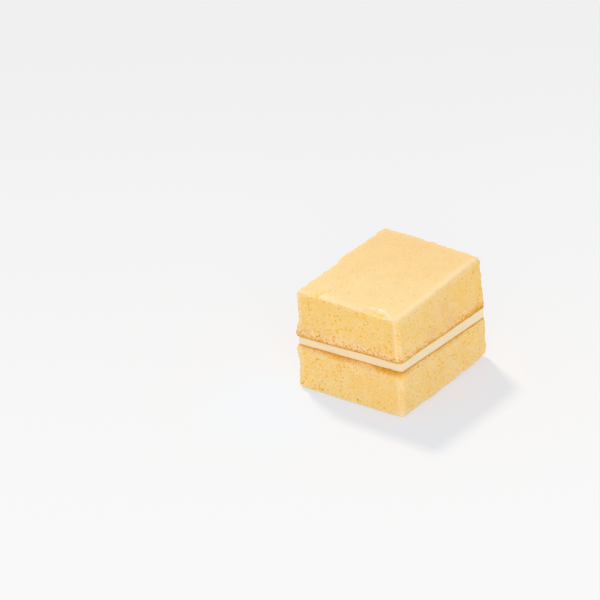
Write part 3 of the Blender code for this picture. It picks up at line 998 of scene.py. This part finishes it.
UPPER = new_layer(
    floor="cream_roof",
    roof="top",
    hidden=("floor",),
    corners=SPONGE_CORNERS,
    floor_edges=CRUST_EDGES,
    floor_lift=-CREAM_CONTACT,
    roof_edges={"-X": 0.8, "+X": 1.6, "-Y": 1.6, "+Y": 1.6},
    wall=((0.0, 0.0), (0.06, 0.7), (0.17, 0.8), (0.36, 0.0), (1.0, -0.1)),
    lip={"-X": 0.2, "+X": 0.2, "-Y": 0.0, "+Y": 0.2},
    crown=1.0,
    roof_swells=1.0,
    seed=23,
    top_pores=0.12,
    large_pores=UPPER_LARGE_PORES,
    hang=0.15,
    # line_at, line_paleness and pale_spots: the painted highlight down the upright corners.
    line_at=1.5,
    line_paleness=1.05,
    pale_spots=((-31.8, 25.2, 28.4, 2.0, 0.7),),
)
UPPER_RIM = {"Line Width": 1.0, "Toast Width": 1.8, "Ragged": 0.8, "Pit Reach": 5.4}

# Duller patches of the -Y wall: place along X and up, half width, half height, strength.
DUSKS = (
    (0.4, 37.0, 4.5, 5.0, 0.7),
    (4.5, 29.0, 4.5, 4.5, 1.0),
    (-9.0, 29.0, 7.0, 3.5, 0.7),
    (-6.0, 36.0, 4.0, 3.0, 0.4),
)
CREASE = ((-32.8, 16.0), (-30.6, 15.4), (-27.6, 14.5), (-22.4, 12.6))
CREASE_WIDTH = 0.7
CREASE_DEPTH = 0.28
CREASE_RISE = 0.45  # of the skin beyond the crease
CREASE_FALL = 0.35  # of the skin before it
PEELED_LINE = ((-30.8, -6.0), (-28.4, -10.0), (-28.2, -14.6), (-29.2, -18.0), (-31.8, -22.0))
PEELED_DEPTH = 0.45
PEELED_ROUGHNESS = 0.16
CREST_RISE = 0.2  # of the torn skin's rim

# Yellow pits of the crease and the peeled strip, partly painted shade under the raised skin: x, y,
# radius, strength.
YELLOW_PITS = (
    (-30.6, -16.3, 0.9, 1.2),
    (-30.0, -12.6, 0.7, 0.7),
    (-31.4, -8.6, 0.7, 0.5),
    (-31.1, 14.7, 0.9, 2.0),
    (-29.4, 14.4, 0.6, 1.6),
    (-30.2, 16.0, 0.9, 0.7),
    (-27.6, 13.9, 0.5, 1.3),
    (-26.0, 12.9, 0.6, 1.4),
    (-24.6, 12.7, 0.5, 1.1),
    (-28.4, 17.2, 0.5, 0.9),
    (-30.8, 18.2, 0.6, 0.9),
)
# The nick is pale inside, partly a painted highlight.
NICK_AT = (-30.8, -25.2, 31.9)  # a nick in the upright corner, pale inside
NICK_SIZE = (0.4, 0.4, 1.3)
HIDDEN_LIP = 0.2  # the browned rim curls under by this much, to the cream


def beside_line(points, line):
    """Distance of points from a line of the plan, below 0 on its left, and their place along it."""
    best = np.full(len(points), np.inf)
    side = np.zeros(len(points))
    place_along = np.zeros(len(points))
    ends = [np.array(corner) for corner in line]
    total = sum(np.hypot(*(b - a)) for a, b in zip(ends, ends[1:]))
    done = 0.0
    for start, end in zip(ends, ends[1:]):
        run = end - start
        length = np.hypot(*run)
        offset = points[:, :2] - start
        share = np.clip(offset @ run / length ** 2, 0, 1)
        gap = np.hypot(*(offset - share[:, None] * run).T)
        cross = offset[:, 1] * run[0] - offset[:, 0] * run[1]
        nearer = gap < best
        best = np.where(nearer, gap, best)
        side = np.where(nearer, -np.sign(cross), side)
        place_along = np.where(nearer, (done + share * length) / total, place_along)
        done += length
    return best * side, place_along


def press_crease(skin, on_top, near_top):
    """Presses the crease into the top. Gives its yellow, partly painted shade under the raised lip, and
    the skin raised along it.
    """
    gap, along = beside_line(skin.points, CREASE)
    fade = np.clip(1.3 - 1.3 * along, 0, 1)
    groove = np.exp(-((gap + 0.4) / CREASE_WIDTH) ** 2) * fade * on_top
    beyond = np.clip(gap, 0, None)
    raised = beyond * np.exp(-beyond / 1.6) * fade
    fallen = (gap < 0) * np.exp(gap / 5.0) * np.clip(-gap / 0.8, 0, 1) * fade
    skin.points[:, 2] += (CREASE_RISE * raised - CREASE_FALL * fallen) * near_top
    skin.points[:, 2] -= CREASE_DEPTH * groove
    mottled = np.clip(perlin(skin.points, 1.3, 3.0) * 3, 0, 1) * fallen * on_top
    yellow = np.maximum(0.6 * groove, 0.8 * mottled)
    for x, y, radius, strength in YELLOW_PITS:
        spot = spot_at(skin.points[:, :2], (x, y), radius)
        yellow = np.maximum(yellow, strength * spot * near_top)
    return yellow, raised


def peel_edge(skin, on_top, near_top):
    """Takes the skin off the peeled strip. Gives where it is bare, and the torn skin's pale rim, partly
    a painted highlight along its raised edge.
    """
    gap, along = beside_line(skin.points, PEELED_LINE)
    window = np.clip(np.minimum(along, 1 - along) * 5, 0, 1)
    peeled = np.clip(gap / 0.6, 0, 1) * window * near_top
    rough = foam(skin.points + 70.0, 1.3)
    width = 0.42 + 0.35 * np.sin(math.pi * along) ** 4
    crest = np.exp(-((gap + 0.1) / width) ** 2) * window * on_top * np.clip(6 * along - 0.6, 0, 1)
    crest *= np.clip(1.2 + 1.6 * perlin(skin.points, 1.3, 21.0), 0, 1.4)
    nearest = skin.points[np.argmin(((skin.points - NICK_AT) ** 2).sum(axis=1))]
    crest = np.maximum(crest, 1.2 * spot_at(skin.points, nearest, NICK_SIZE))
    skin.points[:, 2] += (CREST_RISE * crest - PEELED_DEPTH * peeled) * on_top
    skin.points += skin.direction * (PEELED_ROUGHNESS * rough * peeled)[:, None]
    return peeled, crest


def wall_tones(skin):
    """Golden patches of the walls, and the duller ones of the -Y wall."""
    x, y, z = skin.points.T
    on_left = skin.direction[:, 0] < -0.8
    on_front = skin.direction[:, 1] < -0.8
    inward = from_top_edge(skin, UPPER)
    golden = np.exp(-((inward + 3.2) / 1.8) ** 2)
    golden = np.maximum(golden, 0.6 * np.exp(-((y + 20) / 6) ** 2) * (inward < -1))
    golden = np.maximum(golden, 0.12) * on_left
    deeper = np.clip((x - 2) / 10, 0, 1) * np.clip((z - 28) / 6, 0, 1) * (inward < -2)
    golden = np.maximum(golden, 0.6 * deeper * on_front)
    dusk = np.zeros(len(x))
    for middle, height, half_width, half_height, strength in DUSKS:
        spot = spot_at(skin.points[:, ::2], (middle, height), (half_width, half_height))
        dusk = np.maximum(dusk, strength * spot * on_front)
    return golden, dusk


def upper_marks(skin, away):
    """Creases and peels the top, and gives every mark that the finish shows."""
    on_top = np.clip(skin.up / 0.5, 0, 1)
    near_top = np.clip((skin.share - 0.86) / 0.1, 0, 1)
    yellow, raised = press_crease(skin, on_top, near_top)
    peeled, crest = peel_edge(skin, on_top, near_top)
    golden, dusk = wall_tones(skin)
    return {
        "smear": rim_mask(skin, away, UPPER_SMEARS, UPPER_SMEAR_FADE),
        "blush": rim_mask(skin, away, UPPER_BLUSHES, BLUSH_FADE),
        "golden": golden,
        "dusk": dusk,
        # groove holds the crease's yellow, partly painted shade under the raised lip.
        "groove": yellow,
        # crest: the torn rim and the crease's raised lip, pale and partly painted highlight.
        "crest": crest + 0.35 * np.clip(1.6 * raised, 0, 1) * on_top,
        "peeled": peeled,
    }


def upper_from_cream(skin):
    return skin.share * mean_height(UPPER) - HIDDEN_LIP


def top_tone_and_light(tree, crumb):
    """The peeled top's colour: paler to the -X side and deeper to the far corner, a painted fall-off of
    the light across it, in soft patches of tone.
    """
    where = in_millimetres(tree)
    away = vector_node(tree, "DOT_PRODUCT", where, TOP_WAY)["Value"]
    patchy = times(tree, math_node(tree, "SUBTRACT", crumb["Patches"], 0.5), 60.0)
    share = ramp(tree, math_node(tree, "ADD", away, patchy), *TOP_SPAN)
    return mix_colour(tree, share, TOP_PALE, TOP_DEEP)


def upper_tints(tree, crumb, rim):
    """Tints of the upper sponge alone: its top below the crumb's, and its torn skin above them."""

    def speckled(title, start, end):
        return times(tree, point_value(tree, title), ramp(tree, crumb["Grain"], start, end))

    # The torn skin's pale rim, partly painted highlight.
    torn = math_node(tree, "MINIMUM", speckled("crest", 0.34, 0.5), 0.95)
    below = [
        (point_value(tree, "peeled_top"), 1.0, top_tone_and_light(tree, crumb)),
        (speckled("dusk", 0.2, 0.6), 1.0, DUSK),
    ]
    above = [
        (speckled("peeled", 0.3, 0.6), 0.7, mix_colour(tree, rim["Mottle"], GOLDEN, EDGE_PALE)),
        (torn, 1.0, SKIN_PALE_HIGHLIGHT),
        (speckled("groove", 0.38, 0.52), 1.0, CREASE_YELLOW_SHADE),
    ]
    return below, above


upper_sponge = finish_sponge("upper_sponge_crumb", UPPER, upper_from_cream, upper_marks)
upper_sponge.data.materials.append(
    sponge_material("chiffon_upper", UPPER_RIM, UPPER_CRUST, UPPER_PORE_SHADE, upper_tints))
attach(upper_sponge, "root")
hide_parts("upper_sponge")

# ------------------------------------------------------------------------------
# Studio. A pale seamless floor that glows with painted light of its own, under an even white sky,
# a soft key lamp behind on the left and a broad, weaker one beside the camera, which stands about
# 1.1 m off with a long lens and is tipped a little to one side.
CAMERA_AT = Vector((-747.03, -533.57, 508.24)) * MM
LOOKS_AT = Vector((31.47, 72.71, 0.0)) * MM
LENS = 150.0
SENSOR = 36.0
ROLL = math.radians(-2.82)
FLOOR_SIZE = 6.0
SKY = 0.67
KEY_POWER = 1.12
KEY_SPREAD = math.radians(9)
KEY_FROM = Vector((0.30, 0.60, 1.0))
FILL_POWER = 0.75
FILL_SPREAD = math.radians(40)
FILL_FROM = Vector((-0.71, -0.54, 0.38))
# The floor's glow is painted light: it fades away from the camera, and is cooler beside the cake's -X
# wall to cancel the warm light the wall throws on it.
GLOW_NEAR = (0.321, 0.417, 0.545, 1.0)
GLOW_FAR = (0.244, 0.340, 0.468, 1.0)
GLOW_WAY = (0.79, 0.61, 0.0)  # the glow fades this way, away from the camera
GLOW_SPAN = (-0.2, 0.45)
GLOW_BESIDE = (0.275, 0.417, 0.578, 1.0)  # cooler where the cake's wall throws warm light on it
BESIDE_AT = Vector((-42.0, 18.0, 0.0)) * MM
BESIDE_SPAN = (55 * MM, 5 * MM)
TABLE_FINISH = {
    "Base Color": (0.59, 0.50, 0.38, 1.0),
    "Roughness": 1.0,
    "Specular IOR Level": 0.0,
    "Emission Strength": 1.0,
}


def stage_floor():
    """A light table: white, lit coolly from below as well, which keeps its shadows pale. Its glow is
    painted light, fading away from the camera and cooler beside the cake's -X wall.
    """
    mesh = bpy.data.meshes.new("studio_floor")
    half = FLOOR_SIZE / 2
    corners = [(-half, -half, 0), (half, -half, 0), (half, half, 0), (-half, half, 0)]
    mesh.from_pydata(corners, [], [(0, 1, 2, 3)])
    material, tree, shader = new_material("studio_table", TABLE_FINISH)
    where = add(tree, "TexCoord").outputs["Object"]
    away = vector_node(tree, "DOT_PRODUCT", where, GLOW_WAY)["Value"]
    glow = mix_colour(tree, ramp(tree, away, *GLOW_SPAN), GLOW_NEAR, GLOW_FAR)
    beside = vector_node(tree, "DISTANCE", where, BESIDE_AT)["Value"]
    glow = mix_colour(tree, ramp(tree, beside, *BESIDE_SPAN), glow, GLOW_BESIDE)
    tree.links.new(glow, shader.inputs["Emission Color"])
    mesh.materials.append(material)
    return new_object("studio_floor", mesh)


stage_floor()

world = bpy.data.worlds.new("studio_sky")
world.use_nodes = True
sky = world.node_tree.nodes["Background"].inputs
sky["Color"].default_value = (1.0, 1.0, 1.0, 1.0)
sky["Strength"].default_value = SKY
bpy.context.scene.world = world


def hang_lamp(name, power, spread, way):
    """A far lamp, shining from the given way with soft-edged shadows."""
    lamp = bpy.data.lights.new(name, "SUN")
    lamp.energy = power
    lamp.angle = spread
    new_object(name, lamp).rotation_euler = way.to_track_quat("Z", "Y").to_euler()


hang_lamp("key_lamp", KEY_POWER, KEY_SPREAD, KEY_FROM)
hang_lamp("fill_lamp", FILL_POWER, FILL_SPREAD, FILL_FROM)

camera = bpy.data.cameras.new("camera")
camera.lens = LENS
camera.sensor_width = SENSOR
camera_object = new_object("camera", camera)
aim = (LOOKS_AT - CAMERA_AT).to_track_quat("-Z", "Y").to_matrix().to_4x4()
camera_object.matrix_world = Matrix.Translation(CAMERA_AT) @ aim @ Matrix.Rotation(ROLL, 4, "Z")
bpy.context.scene.camera = camera_object
bpy.context.scene.view_settings.view_transform = "Standard"
